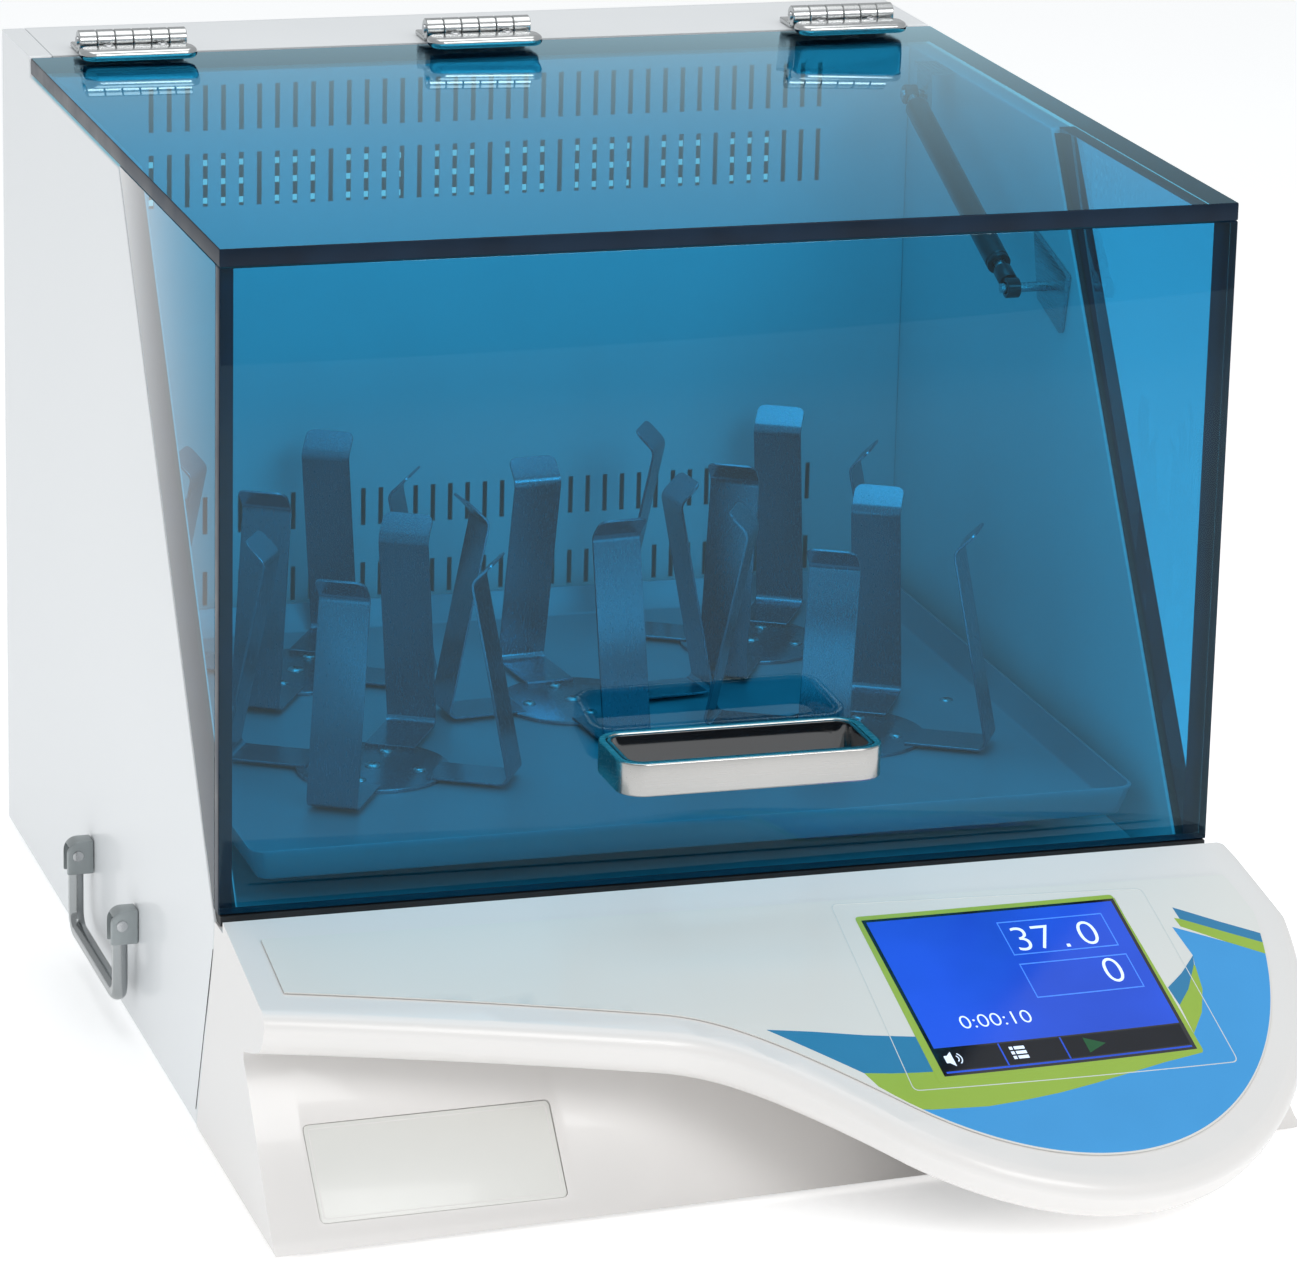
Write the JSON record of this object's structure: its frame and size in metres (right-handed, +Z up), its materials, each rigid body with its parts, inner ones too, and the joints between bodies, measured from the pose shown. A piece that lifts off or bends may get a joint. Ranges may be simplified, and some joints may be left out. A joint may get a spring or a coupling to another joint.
{
  "type": "orbital shaker",
  "caption": "Benchtop incubated orbital shaker: white cabinet, tinted acrylic lid on hinges, orbiting tray with flask clamps, and a touch-screen console.",
  "frame": {"origin": "on the surface the feet stand on, under the middle of the object's bounding box", "axes": "+X to the operator's right, +Y to the rear, +Z up"},
  "size_m": [0.615, 0.8318, 0.5274],
  "materials": {
    "white_paint": "semi-gloss powder coat",
    "fascia_plastic": "satin moulding",
    "overlay_film": "printed film",
    "blue_acrylic": "polished tinted acrylic",
    "black_rubber": "matt",
    "brushed_steel": "brushed",
    "platform_aluminium": "satin",
    "cast_grey": "grey enamel on casting",
    "dark_steel": "black",
    "machined_steel": "machined",
    "black_plastic": "gloss",
    "screen_glass": "glossy screen",
    "circuit_board": "solder mask"
  },
  "bodies": {
    "cabinet": {"left_side_panel": "white_paint", "right_side_panel": "white_paint", "top_rear_cover": "white_paint", "rear_cover": "white_paint", "chamber_rear_wall": "white_paint", "chamber_floor": "white_paint", "base_plate": "platform_aluminium", "foot_front_left": "black_rubber", "foot_front_right": "black_rubber", "foot_rear_left": "black_rubber", "foot_rear_right": "black_rubber", "front_fascia": "fascia_plastic", "panel_overlay": "overlay_film", "display_module": "screen_glass", "label_plate": "overlay_film", "lid_gasket": "black_rubber", "hinge_1_fixed_leaf": "brushed_steel", "hinge_2_fixed_leaf": "brushed_steel", "hinge_3_fixed_leaf": "brushed_steel", "strut_wall_bracket": "machined_steel", "bearing_housing": "platform_aluminium", "drive_motor": "dark_steel", "drive_belt": "black_rubber", "fan_motor": "dark_steel", "heater_element": "dark_steel", "control_board": "circuit_board", "power_inlet": "black_plastic", "left_handle_bracket_front": "cast_grey", "left_handle_bracket_rear": "cast_grey", "right_handle_bracket_front": "cast_grey", "right_handle_bracket_rear": "cast_grey"},
    "lid": {"lid_top_pane": "blue_acrylic", "lid_front_pane": "blue_acrylic", "lid_left_pane": "blue_acrylic", "lid_right_pane": "blue_acrylic", "lid_handle_band": "brushed_steel", "lid_handle_liner": "black_plastic", "hinge_1_moving_leaf": "brushed_steel", "hinge_2_moving_leaf": "brushed_steel", "hinge_3_moving_leaf": "brushed_steel", "strut_lid_bracket": "machined_steel"},
    "drive_shaft": {"main_shaft": "machined_steel", "driven_pulley": "cast_grey"},
    "platform": {"platform_tray": "platform_aluminium", "platform_carrier": "platform_aluminium", "flask_clamp_front_left": "brushed_steel", "flask_clamp_front_right": "brushed_steel", "flask_clamp_centre": "brushed_steel", "flask_clamp_rear_left": "brushed_steel", "flask_clamp_rear_right": "brushed_steel"},
    "motor_rotor": {"motor_pulley": "platform_aluminium"},
    "crank_1": {"support_crank_1": "machined_steel"},
    "crank_2": {"support_crank_2": "machined_steel"},
    "crank_3": {"support_crank_3": "machined_steel"},
    "fan": {"fan_impeller": "black_plastic"},
    "strut_rod": {"gas_strut_rod": "machined_steel"},
    "strut_tube": {"gas_strut_tube": "dark_steel"},
    "left_bail": {"left_handle_bail": "cast_grey"},
    "right_bail": {"right_handle_bail": "cast_grey"},
    "rocker": {"power_rocker": "black_plastic"}
  },
  "joints": [
    {"name": "lid_hinge", "type": "hinge", "parent": "cabinet", "child": "lid", "pos_m": [-0.0064, 0.3279, 0.521], "axis": [-1, 0, 0], "range_deg": [0, 75]},
    {"name": "strut_pivot", "type": "hinge", "parent": "cabinet", "child": "strut_rod", "pos_m": [0.2406, 0.0579, 0.409], "axis": [1, 0, 0], "range_deg": [0, 17.92]},
    {"name": "strut_slide", "type": "slide", "parent": "strut_rod", "child": "strut_tube", "axis": [0, 0.9271, 0.3748], "range_m": [0, 0.0759]},
    {"name": "drive_spin", "type": "hinge", "parent": "cabinet", "child": "drive_shaft", "pos_m": [-0.0064, 0.0719, 0.08], "axis": [0, 0, 1], "continuous": true},
    {"name": "platform_orbit", "type": "hinge", "parent": "drive_shaft", "child": "platform", "pos_m": [-0.0064, 0.0814, 0.14], "axis": [0, 0, 1], "continuous": true},
    {"name": "motor_spin", "type": "hinge", "parent": "cabinet", "child": "motor_rotor", "pos_m": [0.1316, 0.0919, 0.043], "axis": [0, 0, 1], "continuous": true},
    {"name": "crank_1_spin", "type": "hinge", "parent": "cabinet", "child": "crank_1", "pos_m": [-0.0064, 0.1969, 0.12], "axis": [0, 0, 1], "continuous": true},
    {"name": "crank_2_spin", "type": "hinge", "parent": "cabinet", "child": "crank_2", "pos_m": [-0.11465, 0.0094, 0.12], "axis": [0, 0, 1], "continuous": true},
    {"name": "crank_3_spin", "type": "hinge", "parent": "cabinet", "child": "crank_3", "pos_m": [0.10185, 0.0094, 0.12], "axis": [0, 0, 1], "continuous": true},
    {"name": "fan_spin", "type": "hinge", "parent": "cabinet", "child": "fan", "pos_m": [-0.0064, 0.3414, 0.32], "axis": [0, 1, 0], "continuous": true},
    {"name": "left_bail_swing", "type": "hinge", "parent": "cabinet", "child": "left_bail", "pos_m": [-0.3012, 0.0228, 0.0695], "axis": [0, 1, 0], "range_deg": [0, 90]},
    {"name": "right_bail_swing", "type": "hinge", "parent": "cabinet", "child": "right_bail", "pos_m": [0.2884, 0.0228, 0.0695], "axis": [0, -1, 0], "range_deg": [0, 90]},
    {"name": "power_rocker_tilt", "type": "hinge", "parent": "cabinet", "child": "rocker", "pos_m": [0.1836, 0.4089, 0.088], "axis": [1, 0, 0], "range_deg": [-8, 8]}
  ],
  "couplings": [
    {"joint": "strut_pivot", "follows": "lid_hinge", "ratio": 0.23886},
    {"joint": "strut_slide", "follows": "lid_hinge", "m_per_rad": 0.057905},
    {"joint": "platform_orbit", "follows": "drive_spin", "ratio": -1},
    {"joint": "motor_spin", "follows": "drive_spin", "ratio": 2.7273},
    {"joint": "crank_1_spin", "follows": "drive_spin", "ratio": 1},
    {"joint": "crank_2_spin", "follows": "drive_spin", "ratio": 1},
    {"joint": "crank_3_spin", "follows": "drive_spin", "ratio": 1}
  ]
}
